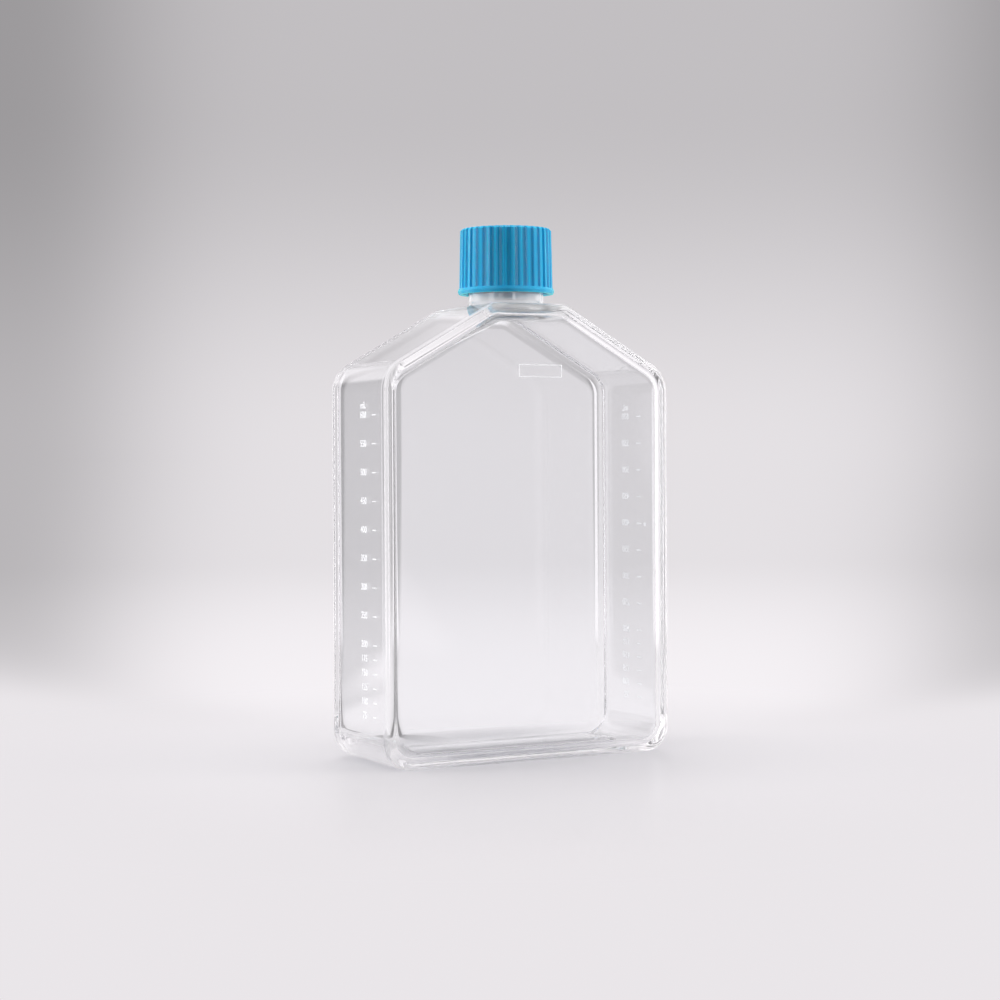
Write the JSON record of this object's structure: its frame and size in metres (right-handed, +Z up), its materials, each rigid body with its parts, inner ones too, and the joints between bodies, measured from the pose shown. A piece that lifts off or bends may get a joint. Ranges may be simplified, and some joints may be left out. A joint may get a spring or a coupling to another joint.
{
  "type": "cell culture flask",
  "caption": "Clear flat-sided culture flask with sloping shoulders, a short threaded neck and a ribbed blue vented screw cap.",
  "frame": {"origin": "on the standing plane, under the middle of the body", "axes": "+Z up the neck, X across the broad faces, +Y towards the growth face on which the flask lies in use, -Y towards the front face"},
  "size_m": [0.115, 0.049, 0.1919],
  "materials": {
    "clear_polystyrene": "polished, transparent",
    "blue_cap": "glossy moulded",
    "seal": "soft, matt",
    "membrane": "matt, porous",
    "white_print": "printed, thin and slightly see-through"
  },
  "bodies": {
    "flask": {"flask_body": "clear_polystyrene"},
    "liner": {"seal_ring": "seal", "vent_membrane": "membrane"},
    "cap": {"screw_cap": "blue_cap"}
  },
  "joints": [
    {"name": "cap_rise", "type": "slide", "parent": "flask", "child": "liner", "axis": [0, 0, 1], "range_m": [0, 0.0241]},
    {"name": "cap_turn", "type": "hinge", "parent": "liner", "child": "cap", "pos_m": [0, -0.0045, 0.18], "axis": [0, 0, 1], "range_deg": [0, 1350]}
  ],
  "couplings": [
    {"joint": "cap_rise", "follows": "cap_turn", "m_per_rad": 0.0010186}
  ]
}
